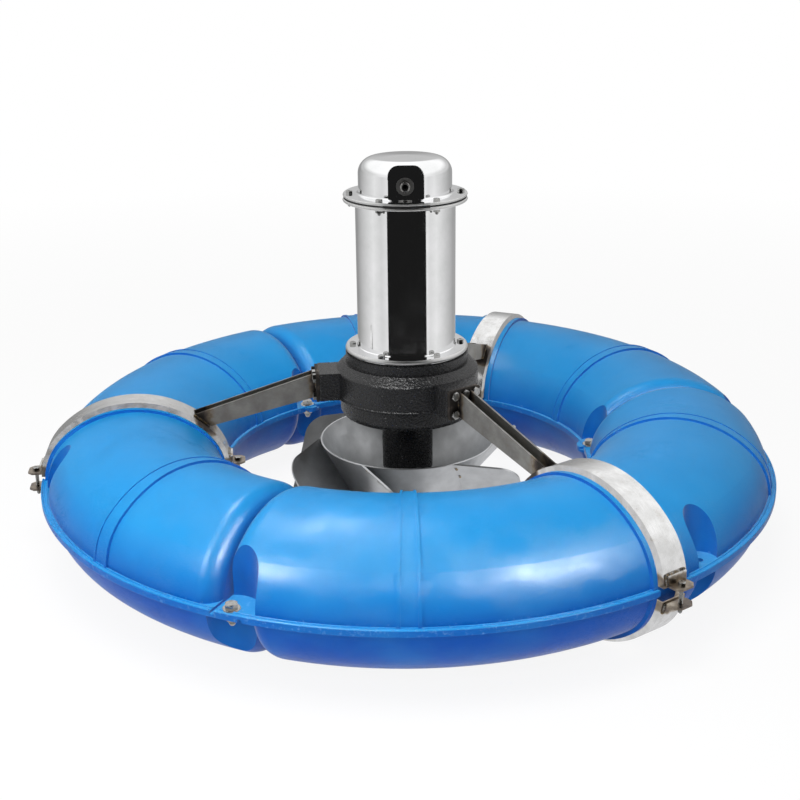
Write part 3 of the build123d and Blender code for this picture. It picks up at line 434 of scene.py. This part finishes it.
finishes = {
    "float_plastic": moulded_polyethylene(),
    # Polished strip bent cold: bright, with streaks of light that run round it
    "clamp_steel": stainless(
        "bent_stainless_band", "f0f0f0", "d4d4d3", 0.15, (3.5, 140.0, 1.0), 0.00012,
        heat_near_clamp_welds, ring_skin
    ),
    # Mill-finish sheet folded cold: dull grey, with a soft sheen along its grain
    "arm_steel": stainless(
        "folded_stainless_arm", "b6b5b2", "9b9a97", 0.56, (40.0, 40.0, 1.6), 0.00014, heat_near_arm_welds
    ),
    # Turned and rolled bolts: grey and bright, with facets that catch the light
    "fastener_steel": mottled("machined_stainless", "c2c2c0", "9c9c9a", 0.22, 1.0, 3.0, 0.00010),
    "case_iron": painted_cast_iron(),
    # Moulded rubber: near black and matt
    "black_rubber": mottled("nitrile_rubber", "0c0c0c", "191919", 0.60, 0.0, 1.5, 0.00010),
    "motor_steel": polished_stainless(),
    # Nickel plate over turned brass: grey and satin
    "gland_metal": mottled("nickel_plated_brass", "a4a3a0", "7f7e7c", 0.34, 1.0, 2.0, 0.00010),
    # Die-cast aluminium: pale grey, with a soft sandy skin
    "shield_aluminium": mottled("die_cast_aluminium", "b4b6b8", "9a9c9e", 0.42, 1.0, 4.0, 0.00020),
    # Ground and oiled steel: bright, with a faint bloom
    "bearing_steel": mottled("ground_steel", "c4c6c8", "aaacae", 0.24, 1.0, 2.0, 0.00005),
    # The edges of stacked laminations: dark and satin
    "core_steel": mottled("lamination_steel", "6a6a6c", "4c4c4e", 0.45, 1.0, 1.0, 0.00010),
    "winding_copper": varnished_windings(),
    # Spun and welded sheet: pale grey, with a softly blurred mirror
    "wheel_steel": stainless("spun_stainless", "d0d2d4", "c2c4c6", 0.36, (5.0, 5.0, 40.0), 0.00008),
}

# Weld metal to go with each sheet, and a flange's turned edge: pale and satin
clamp_weld = weld_metal("clamp_weld", "c9c6c0", "8f8a84")
arm_weld = weld_metal("arm_weld", "8f8a84", "5e5750")
wheel_weld = weld_metal("wheel_weld", "d8d8d6", "a4a19c")
turned_edge = mottled("turned_flange_edge", "e4e4e3", "d2d2d1", 0.42, 1.0, 3.0, 0.00005)
for part in frame["record"]["subparts"]:
    mesh = nodes[part["node"]].data
    mesh.materials.clear()
    mesh.materials.append(finishes[part["material_slot"]])


def polar_spot(radius, angle, z=0.0):
    """The place at a radius and an angle round the Z axis, turned to face outward."""
    return Matrix.Rotation(angle, 4, "Z") @ Matrix.Translation((radius, 0.0, z))


def add_piece(name, work, slot, body="aerator", material=None, sharp=40.0):
    """Makes an object from the worked mesh, gives it its finish and lets it ride on a body."""
    bmesh.ops.recalc_face_normals(work, faces=work.faces)
    mesh = bpy.data.meshes.new(name)
    work.to_mesh(mesh)
    work.free()
    mesh.materials.append(material or finishes[slot])
    mesh.shade_smooth()
    mesh.set_sharp_from_angle(angle=radians(sharp))
    thing = bpy.data.objects.new(name, mesh)
    bpy.context.scene.collection.objects.link(thing)
    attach(thing, body)
    return thing


def turn_outline(work, spot, outline_at, steps=36, ring=False):
    """Turns an outline round the spot's Z axis. outline_at(angle) gives (radius, height) points."""
    columns = []
    for i in range(steps):
        angle = 2 * pi * i / steps
        columns.append([
            work.verts.new(spot @ Vector((r * cos(angle), r * sin(angle), z))) for r, z in outline_at(angle)
        ])
    count = len(columns[0])
    for a, b in zip(columns, columns[1:] + columns[:1]):
        for j in range(count if ring else count - 1):
            k = (j + 1) % count
            work.faces.new((a[j], b[j], b[k], a[k]))
    if not ring:
        work.faces.new([column[0] for column in columns])
        work.faces.new([column[-1] for column in columns])


def sweep_bead(work, path, radii, sides=8):
    """A round bar along a path, closed at both ends, with its own radius at each point."""
    rows = []
    side = None
    for i, point in enumerate(path):
        along = (path[min(i + 1, len(path) - 1)] - path[max(i - 1, 0)]).normalized()
        side = along.orthogonal() if side is None else side - along * side.dot(along)
        side.normalize()
        up = along.cross(side)
        rows.append([
            work.verts.new(point + radii[i] * (cos(2 * pi * k / sides) * side + sin(2 * pi * k / sides) * up))
            for k in range(sides)
        ])
    for a, b in zip(rows, rows[1:]):
        for k in range(sides):
            work.faces.new((a[k], b[k], b[(k + 1) % sides], a[(k + 1) % sides]))
    work.faces.new(rows[0])
    work.faces.new(rows[-1])


def lay_weld(work, corners, radius):
    """A hand-laid weld bead along a line of corners. Its ripples are a puddle's width apart."""
    step = WELD_RIPPLE / RIPPLE_STEPS
    path = []
    for a, b in zip(corners, corners[1:]):
        count = max(1, round((b - a).length / step))
        path += [a.lerp(b, i / count) for i in range(count)]
    path.append(corners[-1])
    last = len(path) - 1
    radii = []
    for i in range(last + 1):
        fade = min(1.0, 0.45 + min(i, last - i) * 0.12)
        swell = 1 + 0.13 * cos(2 * pi * i / RIPPLE_STEPS) + hand.uniform(-0.06, 0.06)
        radii.append(radius * fade * swell)
    sweep_bead(work, path, radii)


def cut_thread(work, spot, size, low, high):
    """The helical ridge of a thread between two levels on the spot's Z axis."""
    radius, pitch = size.radius, size.pitch
    root = radius - THREAD_DEPTH * pitch
    run_out = THREAD_STEPS / 2
    steps = ceil((high - low - pitch) / pitch * THREAD_STEPS)
    rows = []
    for i in range(steps + 1):
        angle = 2 * pi * i / THREAD_STEPS
        z = low + pitch * (0.5 + i / THREAD_STEPS)
        crest = root + (radius - root) * max(0.15, min(1.0, i / run_out, (steps - i) / run_out))
        rows.append([
            work.verts.new(spot @ Vector((r * cos(angle), r * sin(angle), z + rise * pitch)))
            for r, rise in ((root, -0.42), (crest, -0.06), (crest, 0.06), (root, 0.42))
        ])
    for a, b in zip(rows, rows[1:]):
        for j in range(4):
            work.faces.new((a[j], b[j], b[(j + 1) % 4], a[(j + 1) % 4]))
    work.faces.new(rows[0])
    work.faces.new(rows[-1])


def hexagon_reach(across, angle):
    """How far the edge of a hexagon is from its middle at an angle."""
    return across / 2 / cos((angle + pi / 6) % (pi / 3) - pi / 6)


def hexagon_bolt(work, spot, size, length, threaded, washer=False):
    """A chamfered hexagon bolt: its head stands on z = 0 and its shank points down."""
    radius, across, head, pitch = size
    spot = spot @ Matrix.Rotation(hand.uniform(0, pi / 3), 4, "Z")
    seat = WASHER_SHEET if washer else 0.0
    face_r = FACE_SHARE * across

    def head_outline(angle):
        reach = hexagon_reach(across, angle)
        drop = (reach - face_r) * CHAMFER_SLOPE
        return [
            (reach, seat), (reach, seat + head - drop), (face_r, seat + head),
            (0.36 * across, seat + head), (0.34 * across, seat + head - 0.0003),
        ]

    turn_outline(work, spot, head_outline, HEX_STEPS)
    root = radius - 0.60 * pitch
    turn_outline(work, spot, lambda angle: [
        (0.7 * root, -length), (root, -length + 0.35 * radius), (root, -length + threaded),
        (radius, -length + threaded + 0.5 * pitch), (radius, seat + 0.0005),
    ], 24)
    cut_thread(work, spot, size, -length + 0.3 * radius, -length + threaded)
    if washer:
        turn_outline(work, spot, lambda angle: [
            (radius + 0.0003, 0.0), (WASHER_R, 0.0), (WASHER_R, WASHER_SHEET - WASHER_EDGE),
            (WASHER_R - WASHER_EDGE, WASHER_SHEET), (radius + 0.0003, WASHER_SHEET),
        ], HEX_STEPS, ring=True)


def hexagon_nut(work, spot, size, height):
    """A hexagon nut chamfered on both faces. It hangs under z = 0."""
    radius, across = size.radius, size.across
    spot = spot @ Matrix.Rotation(hand.uniform(0, pi / 3), 4, "Z")
    face_r = FACE_SHARE * across

    def outline(angle):
        reach = hexagon_reach(across, angle)
        drop = (reach - face_r) * CHAMFER_SLOPE
        return [
            (radius, -0.0006), (1.15 * radius, 0.0), (face_r, 0.0), (reach, -drop),
            (reach, -height + drop), (face_r, -height),
            (1.15 * radius, -height), (radius, -height + 0.0006),
        ]

    turn_outline(work, spot, outline, HEX_STEPS, ring=True)


def replace_fasteners(node, make, spots):
    """One piece with every bolt or nut of a node, in the node's own places."""
    work = bmesh.new()
    for spot in spots:
        make(work, spot)
    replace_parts(add_piece("detailed_" + node, work, "fastener_steel", sharp=30.0), node)


clamp_rs = [RING_R + side * (BODY_HALF_WIDTH + BAND_RISE + LUG_BOLT_OFFSET) for side in (-1, 1)]
upper_face = UPPER_LUG_FOOT + LUG_SHEET
lower_face = LOWER_LUG_FOOT - LUG_SHEET
joint_spots = [(r, az + pi / 3) for az in FLOAT_AZ for r in (OUTER_JOINT_R, INNER_JOINT_R)]
motor_az = [MOTOR_BOLT_AZ + pi / 3 * i for i in range(6)]
upside_down = Matrix.Rotation(pi, 4, "X")
cap_flange_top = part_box("cap")[0][2] + CAP_FLANGE_SHEET
top_flange_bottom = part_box("tube_top_flange")[0][2]
base_flange_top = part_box("motor_base_flange")[1][2]
case_bolt_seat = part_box("gear_case_base")[1][2] - CASE_BOLT_SINK

clamp_length = upper_face - lower_face + 0.012
replace_fasteners(
    "clamp_bolts",
    lambda work, spot: hexagon_bolt(work, spot, M6, clamp_length, clamp_length - 0.002),
    [polar_spot(r, az, upper_face) for az in FLOAT_AZ for r in clamp_rs],
)
replace_fasteners(
    "clamp_nuts",
    lambda work, spot: hexagon_nut(work, spot, M6, M6_NUT_HEIGHT),
    [polar_spot(r, az, lower_face) for az in FLOAT_AZ for r in clamp_rs],
)
replace_fasteners(
    "float_bolts",
    lambda work, spot: hexagon_bolt(work, spot, M10, 2 * LIP + 0.016, 0.016, washer=True),
    [polar_spot(r, az, LIP) for r, az in joint_spots],
)
replace_fasteners(
    "float_nuts",
    lambda work, spot: hexagon_nut(work, spot, M10, M10_NUT_HEIGHT),
    [polar_spot(r, az, -LIP) for r, az in joint_spots],
)
plate_places = [
    (y, PLATE_Z + z) for y in (-PLATE_BOLT_SIDE, PLATE_BOLT_SIDE) for z in (-PLATE_BOLT_UP, PLATE_BOLT_UP)
]
plate_places.append((0.0, PLATE_Z + PLATE_BOLT_UP))
replace_fasteners(
    "arm_bolts",
    lambda work, spot: hexagon_bolt(work, spot, M8, 0.017, 0.004),
    [
        Matrix.Rotation(az, 4, "Z")
        @ Matrix.Translation((PLATE_FACE_R, y, z))
        @ Matrix.Rotation(pi / 2, 4, "Y")
        for az in FLOAT_AZ
        for y, z in plate_places
    ],
)
replace_fasteners(
    "case_bolts",
    lambda work, spot: hexagon_bolt(work, spot, M8, 0.039, 0.012),
    [polar_spot(CASE_BOLT_R, CASE_BOLT_AZ + pi / 3 * i, case_bolt_seat) @ upside_down for i in range(6)],
)
cap_bolt_length = cap_flange_top - top_flange_bottom + 0.009
replace_fasteners(
    "cap_bolts",
    lambda work, spot: hexagon_bolt(work, spot, M6, cap_bolt_length, 0.012),
    [polar_spot(MOTOR_BOLT_R, az, cap_flange_top) for az in motor_az],
)
replace_fasteners(
    "cap_nuts",
    lambda work, spot: hexagon_nut(work, spot, M6, M6_NUT_HEIGHT),
    [polar_spot(MOTOR_BOLT_R, az, top_flange_bottom) for az in motor_az],
)
replace_fasteners(
    "base_bolts",
    lambda work, spot: hexagon_bolt(work, spot, M6, 0.018, 0.006),
    [polar_spot(MOTOR_BOLT_R, az, base_flange_top) for az in motor_az],
)


def lip_beads():
    """The moulded beads along the edges of each float's lip, broken at the clamp's groove."""
    rows = (
        (LIP_OUTER_R - LIP_BEAD_R, 1), (LIP_OUTER_R - LIP_STEP, 1), (LIP_OUTER_R - LIP_BEAD_R, -1),
        (LIP_INNER_R + LIP_BEAD_R, 1), (LIP_INNER_R + LIP_BEAD_R, -1),
    )
    for number, az in enumerate(FLOAT_AZ, start=1):
        work = bmesh.new()
        for radius, side in rows:
            groove = GROOVE_HALF_WIDTH / radius + 0.002
            start = -pi / 3 - side * LAP_ANGLE + END_GAP_ANGLE + BEAD_END_ANGLE
            stop = pi / 3 - side * LAP_ANGLE - END_GAP_ANGLE - BEAD_END_ANGLE
            for low, high in ((start, -groove), (groove, stop)):
                count = ceil((high - low) / radians(1.0))
                edge = Vector((radius, 0, side * LIP))
                path = [
                    Matrix.Rotation(az + low + (high - low) * i / count, 3, "Z") @ edge
                    for i in range(count + 1)
                ]
                sweep_bead(work, path, [LIP_BEAD_R] * (count + 1))
        add_piece(f"lip_beads_{number}", work, "float_plastic")


def band_surface(facing, z):
    """How far out the clamp band's outer face is at a height, on its outer or inner flank."""
    reach = BODY_HALF_WIDTH - FLANK_R
    flank = FLANK_R + BAND_RISE
    crown = (reach**2 + BODY_HALF_HEIGHT**2 - FLANK_R**2) / (2 * (BODY_HALF_HEIGHT - FLANK_R))
    rise = atan2(crown - BODY_HALF_HEIGHT, reach)
    if abs(z) < flank * sin(rise):
        return RING_R + facing * (reach + sqrt(flank**2 - z**2))
    up = abs(z) - BODY_HALF_HEIGHT + crown
    return RING_R + facing * sqrt((crown + BAND_RISE) ** 2 - up**2)


def clamp_welds():
    """Beads round the uprights of the lugs, two lugs to each half clamp."""
    half = LUG_WIDTH / 2 + WELD_GAP
    for number, az in enumerate(FLOAT_AZ, start=1):
        turn = Matrix.Rotation(az, 3, "Z")
        for word, side, foot in (("upper", 1, UPPER_LUG_FOOT), ("lower", -1, LOWER_LUG_FOOT)):
            work = bmesh.new()
            start, top = foot + side * 0.001, foot + side * (LUG_LEG + 0.0002)
            for facing in (1, -1):
                places = [(-half, start), (-half, top), (half, top), (half, start)]
                corners = []
                for (y0, z0), (y1, z1) in zip(places, places[1:]):
                    for i in range(8):
                        y, z = y0 + (y1 - y0) * i / 8, z0 + (z1 - z0) * i / 8
                        corners.append(turn @ Vector((band_surface(facing, z) + facing * 0.0006, y, z)))
                lay_weld(work, corners, 0.0019)
            add_piece(f"lug_welds_{word}_{number}", work, "clamp_steel", material=clamp_weld)


def arm_welds():
    """Each arm's beads: stitches on its end plate and a bead round its end on the clamp."""
    half = ARM_HALF_WIDTH + WELD_GAP
    heights = [ARM_END_TOP - ARM_END_HEIGHT * i / 10 for i in range(11)]
    for number, az in enumerate(FLOAT_AZ, start=1):
        turn = Matrix.Rotation(az, 3, "Z")
        work = bmesh.new()
        side_path = [(band_surface(-1, z) - 0.0006, half, z) for z in heights]
        round_end = side_path + [(r, -y, z) for r, y, z in reversed(side_path)]
        lay_weld(work, [turn @ Vector(p) for p in round_end], 0.0022)
        for y in (-half, half):
            stitch = [Vector((PLATE_FACE_R + WELD_GAP, y, PLATE_Z + z)) for z in (-0.0062, 0.0062)]
            lay_weld(work, [turn @ p for p in stitch], 0.0013)
        under = [
            Vector((PLATE_FACE_R + WELD_GAP, y, ARM_INNER_BOTTOM - 0.0002)) for y in (-0.0105, 0.0105)
        ]
        lay_weld(work, [turn @ p for p in under], 0.0016)
        add_piece(f"arm_welds_{number}", work, "arm_steel", material=arm_weld)


def wheel_welds():
    """Three tack welds at the root of each blade, on the outside of the bowl."""
    slope = (RIM_R - BOTTOM_R) / (RIM_Z - BOTTOM_Z)
    rim_point = Vector((RIM_R, 0, RIM_Z))
    low_r = RIM_R - slope * BLADE_TWIST_DROP
    low_point = Vector((low_r * cos(BLADE_TWIST), low_r * sin(BLADE_TWIST), RIM_Z - BLADE_TWIST_DROP))
    out = Vector((cos(BLADE_SWEEP), sin(BLADE_SWEEP), -BLADE_DROP)).normalized()
    normal = out.cross(low_point - rim_point).normalized()

    def root(z):
        """Where the blade's middle plane meets the bowl at a height."""
        radius = RIM_R - slope * (RIM_Z - z)
        want = normal.dot(rim_point) - normal.z * z
        lean = atan2(normal.y, normal.x)
        swing = want / (radius * hypot(normal.x, normal.y))
        options = [lean + sign * atan2(sqrt(max(0.0, 1 - swing**2)), swing) for sign in (1, -1)]
        guess = BLADE_TWIST * (RIM_Z - z) / BLADE_TWIST_DROP
        angle = min(options, key=lambda a: abs((a - guess + pi) % (2 * pi) - pi))
        return Vector(((radius + 0.0005) * cos(angle), (radius + 0.0005) * sin(angle), z))

    work = bmesh.new()
    for i in range(BLADE_COUNT):
        turn = Matrix.Rotation(2 * pi * i / BLADE_COUNT, 3, "Z")
        for depth in (0.006, 0.026, 0.078):
            corners = [turn @ root(RIM_Z - depth - WELD_RIPPLE * k) for k in range(5)]
            lay_weld(work, corners, 0.0024)
    add_piece("blade_tack_welds", work, "wheel_steel", "water_wheel", wheel_weld)


def small_rings():
    """The bowl's rolled rim, the case's joint bead, and the motor tube's welds, edges and seam."""
    centre = Matrix.Identity(4)
    work = bmesh.new()
    turn_outline(work, centre, lambda angle: [
        (RIM_R - 0.0010 + RIM_BEAD_R * cos(pi * k / 6), RIM_Z - 0.0004 + RIM_BEAD_R * sin(pi * k / 6))
        for k in range(12)
    ], 144, ring=True)
    add_piece("bowl_rim", work, "wheel_steel", "water_wheel", sharp=80.0)

    work = bmesh.new()
    joint_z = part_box("gear_case")[0][2]
    turn_outline(work, centre, lambda angle: [
        (DRUM_R - 0.002, joint_z), (DRUM_R + 0.0012, joint_z + 0.0006),
        (DRUM_R + 0.0018, joint_z + 0.0022), (DRUM_R + 0.0012, joint_z + 0.0040),
        (DRUM_R - 0.002, joint_z + 0.0050),
    ], 120, ring=True)
    add_piece("case_joint_bead", work, "case_iron", sharp=60.0)

    for name, level, side in (
        ("tube_foot_weld", base_flange_top, 1), ("tube_head_weld", top_flange_bottom, -1)
    ):
        work = bmesh.new()
        turn_outline(work, centre, lambda angle: [
            (TUBE_R - WELD_GAP, level - side * WELD_GAP), (TUBE_R + 0.0016, level - side * WELD_GAP),
            (TUBE_R + 0.0007, level + side * 0.0006), (TUBE_R - WELD_GAP, level + side * 0.0016),
        ], 120, ring=True)
        add_piece(name, work, "motor_steel", sharp=70.0)

    # Each flange's edge is turned round and left satin, so that it doesn't mirror the dark panel
    for name, node in (
        ("cap_flange_edge", "cap"), ("tube_flange_edge", "tube_top_flange"),
        ("base_flange_edge", "motor_base_flange"),
    ):
        low, high = (corner[2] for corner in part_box(node))
        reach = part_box(node)[1][0]
        high = low + CAP_FLANGE_SHEET if node == "cap" else high
        middle, half = (low + high) / 2, (high - low) / 2 - 0.0002
        work = bmesh.new()
        turn_outline(work, centre, lambda angle: [
            (reach - 0.001, middle - half), (reach + 0.45 * half, middle - 0.75 * half),
            (reach + 0.75 * half, middle), (reach + 0.45 * half, middle + 0.75 * half),
            (reach - 0.001, middle + half),
        ], 144, ring=True)
        add_piece(name, work, "motor_steel", material=turned_edge, sharp=80.0)

    # The tube is rolled from sheet, with its seam at the back, away from the cable gland
    work = bmesh.new()
    count = 60
    length = top_flange_bottom - base_flange_top
    levels = [base_flange_top + length * i / count for i in range(count + 1)]
    sweep_bead(work, [Vector((0.0, TUBE_R - 0.0003, z)) for z in levels], [0.0008] * (count + 1))
    add_piece("tube_seam", work, "motor_steel", sharp=70.0)


def gland_nut():
    """The gland's domed nut with twelve grip flutes. It replaces the plain ring."""
    gland_z = sum(corner[2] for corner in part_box("gland_nut")) / 2
    spot = Matrix.Translation((0.0, -CAP_R, gland_z)) @ Matrix.Rotation(pi / 2, 4, "X")

    def outline(angle):
        grip = 1.0 - 0.06 * (0.5 + 0.5 * cos(12 * angle)) ** 3
        return [
            (CABLE_BORE_R, 0.0045), (0.0080 * grip, 0.0045), (0.0080 * grip, 0.0074),
            (0.0076, 0.0084), (0.0067, 0.0092), (0.0058, 0.0095), (CABLE_BORE_R, 0.0092),
        ]

    work = bmesh.new()
    turn_outline(work, spot, outline, 96, ring=True)
    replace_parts(add_piece("detailed_gland_nut", work, "gland_metal", sharp=35.0), "gland_nut")


lip_beads()
clamp_welds()
arm_welds()
wheel_welds()
small_rings()
gland_nut()


def world_light():
    """White backdrop, soft light from all round, and a studio with a dark panel to reflect."""
    world = bpy.data.worlds.new("studio")
    bpy.context.scene.world = world
    world.use_nodes = True
    tree = world.node_tree
    tree.nodes.clear()
    x, y, z = add(tree, "SeparateXYZ", {0: add(tree, "TexCoord")[0]})
    front = add(tree, "Math", {0: y, 1: -1.0}, operation="MULTIPLY")[0]
    turn = add(tree, "Math", {0: x, 1: front}, operation="ARCTAN2")[0]
    share = add(tree, "MapRange", {"Value": turn, "From Min": -pi, "From Max": pi})[0]

    def stops(pairs):
        """Levels at turns round the object, in degrees from the viewer, as a ramp's stops."""
        return [((angle + 180.0) / 360.0, level) for angle, level in pairs]

    walls = add(tree, "ValToRGB", {0: share}, stops([
        (-180, 0.36), (-148, 0.30), (-115, 0.58), (-80, 0.86), (-58, 0.72), (-43, 0.82),
        (47, 0.90), (58, 0.78), (75, 0.86), (109, 0.60), (139, 0.38), (180, 0.36),
    ]))[0]
    upper = add(tree, "ValToRGB", {0: share}, stops([
        (-180, 0.56), (-120, 0.62), (-60, 0.90), (60, 0.95), (120, 0.70), (180, 0.56),
    ]))[0]
    climb = add(tree, "MapRange", {"Value": z, "From Min": 0.06, "From Max": 0.20})[0]
    sides = add(tree, "Mix", {0: climb, 6: walls, 7: upper}, data_type="RGBA")[0]
    climb = add(tree, "MapRange", {"Value": z, "From Min": 0.28, "From Max": 0.50})[0]
    sides = add(tree, "Mix", {0: climb, 6: sides, 7: SKY_GLEAM}, data_type="RGBA")[0]

    # The dark panel's sides lie in planes that the tube and the cap mirror as upright lines
    depth = add(tree, "Math", {0: VIEW_LEVEL, 1: y}, operation="SUBTRACT")[0]
    slant = add(tree, "Math", {0: x, 1: depth}, operation="DIVIDE")[0]
    slant = add(tree, "Math", {
        0: slant, 1: 1 / PANEL_HALF_WIDTH, 2: -PANEL_MIDDLE / PANEL_HALF_WIDTH
    }, operation="MULTIPLY_ADD")[0]
    slant = add(tree, "Math", {0: slant}, operation="ABSOLUTE")[0]
    corner = add(tree, "Math", {0: slant, 1: PANEL_CORNER_POWER}, operation="POWER")[0]
    crest = add(tree, "Math", {0: corner, 1: -PANEL_CORNER_DROP, 2: PANEL_CREST}, operation="MULTIPLY_ADD")[0]
    panel = add(tree, "Math", {0: y, 1: crest}, operation="LESS_THAN")[0]
    for value, limit, operation in ((slant, 1.0, "LESS_THAN"), (z, PANEL_FOOT, "GREATER_THAN")):
        edge = add(tree, "Math", {0: value, 1: limit}, operation=operation)[0]
        panel = add(tree, "Math", {0: panel, 1: edge}, operation="MULTIPLY")[0]
    studio = add(tree, "Mix", {0: panel, 6: sides, 7: PANEL_BLACK}, data_type="RGBA")[0]
    low = add(tree, "Math", {0: z, 1: PANEL_FOOT}, operation="LESS_THAN")[0]
    studio = add(tree, "Mix", {0: low, 6: studio, 7: FLOOR_GLEAM}, data_type="RGBA")[0]
    height = add(tree, "MapRange", {"Value": z, "From Min": -1.0, "From Max": 1.0})[0]
    soft = add(tree, "ValToRGB", {0: height}, [(0.35, 0.10), (0.60, 0.16), (1.0, 0.30)])[0]
    path = add(tree, "LightPath")
    seen = add(tree, "Mix", {0: path[3], 6: soft, 7: studio}, data_type="RGBA")[0]
    seen = add(tree, "Mix", {0: path[0], 6: seen, 7: WHITE}, data_type="RGBA")[0]
    background = add(tree, "Background", {"Color": seen})[0]
    add(tree, "OutputWorld", {"Surface": background})


def floor():
    """A pale floor that takes a faint shadow and fades into the white backdrop."""
    mesh = bpy.data.meshes.new("floor")
    corners = [(x * FLOOR_HALF, y * FLOOR_HALF, FLOOR_Z) for x, y in ((-1, -1), (1, -1), (1, 1), (-1, 1))]
    mesh.from_pydata(corners, [], [(0, 1, 2, 3)])
    sheet = bpy.data.objects.new("floor", mesh)
    bpy.context.scene.collection.objects.link(sheet)
    sheet.visible_glossy = False
    material = bpy.data.materials.new("pale_floor")
    material.use_nodes = True
    tree = material.node_tree
    tree.nodes.clear()
    matt = add(tree, "BsdfDiffuse", {"Color": (0.88, 0.88, 0.88, 1.0)})[0]
    white = add(tree, "Emission", {"Color": WHITE, "Strength": 1.0})[0]
    away = add(tree, "VectorMath", {0: add(tree, "TexCoord")[3]}, operation="LENGTH")[0]
    share = add(tree, "MapRange", {
        "Value": away, "From Min": 0.9, "From Max": 3.2, "To Min": 0.90, "To Max": 1.0
    })[0]
    share = add(tree, "Math", {0: add(tree, "LightPath")[0], 1: share}, operation="MULTIPLY")[0]
    both = add(tree, "MixShader", {0: share, 1: matt, 2: white})[0]
    add(tree, "OutputMaterial", {"Surface": both})
    mesh.materials.append(material)


def area_light(name, spot, target, size, power, only_on=None):
    """A soft lamp that no gloss shows, or a window that only shows as gloss on the given parts."""
    lamp = bpy.data.lights.new(name, "AREA")
    lamp.shape = "RECTANGLE"
    lamp.size, lamp.size_y = size
    lamp.energy = power
    thing = bpy.data.objects.new(name, lamp)
    thing.location = spot
    thing.rotation_euler = (Vector(target) - Vector(spot)).to_track_quat("-Z", "Y").to_euler()
    bpy.context.scene.collection.objects.link(thing)
    if only_on:
        thing.light_linking.receiver_collection = only_on
        thing.visible_diffuse = False
    else:
        thing.visible_glossy = False


def camera():
    """The photograph's view of the object."""
    data = bpy.data.cameras.new("camera")
    data.sensor_width = SENSOR_MM
    data.lens = FOCAL_PIXELS * SENSOR_MM / PHOTO_WIDTH
    thing = bpy.data.objects.new("camera", data)
    thing.location = CAMERA_SPOT
    thing.rotation_euler = [radians(a) for a in CAMERA_TURN]
    bpy.context.scene.collection.objects.link(thing)
    bpy.context.scene.camera = thing


def parts_together(name, kept, made):
    """A collection of CAD nodes and of pieces made here, for lamps of their own."""
    group = bpy.data.collections.new(name)
    for node in kept:
        group.objects.link(nodes[node])
    for piece in made:
        group.objects.link(bpy.data.objects[piece])
    return group


floats = [f"float_{number}" for number in (1, 2, 3)]
glossy_parts = parts_together("glossy_parts", floats, [f"lip_beads_{number}" for number in (1, 2, 3)])
case_parts = parts_together("case_parts", ["gear_case", "gear_case_base"], ["case_joint_bead"])

world_light()
floor()
camera()
area_light("top", (-0.3, -1.0, 2.1), (0.0, -0.2, 0.0), (1.4, 1.2), 42.0)
area_light("front", (-0.2, -2.6, 1.6), (0.0, 0.0, 0.0), (1.2, 0.9), 22.0)
area_light("left", (-2.4, -0.6, 1.0), (0.0, 0.0, 0.1), (0.9, 1.4), 18.0)
area_light("crest_window", (-0.44, 0.10, 1.60), (-0.15, -0.55, 0.1), (0.50, 0.26), 38.0, glossy_parts)
area_light("left_window", (-1.20, -1.32, 1.22), (-0.3, -0.5, 0.0), (0.40, 0.36), 100.0, glossy_parts)
area_light("right_window", (1.12, -1.40, 1.16), (0.25, -0.55, 0.0), (0.70, 0.42), 270.0, glossy_parts)
area_light("case_window", (-0.6, -1.6, 1.5), (0.0, 0.0, 0.15), (0.8, 0.5), 45.0, case_parts)

# Bare steel mirrors the studio alone, as the blue of the floats would drown it
for name in floats:
    nodes[name].visible_glossy = False
bpy.context.scene.view_settings.view_transform = "Standard"
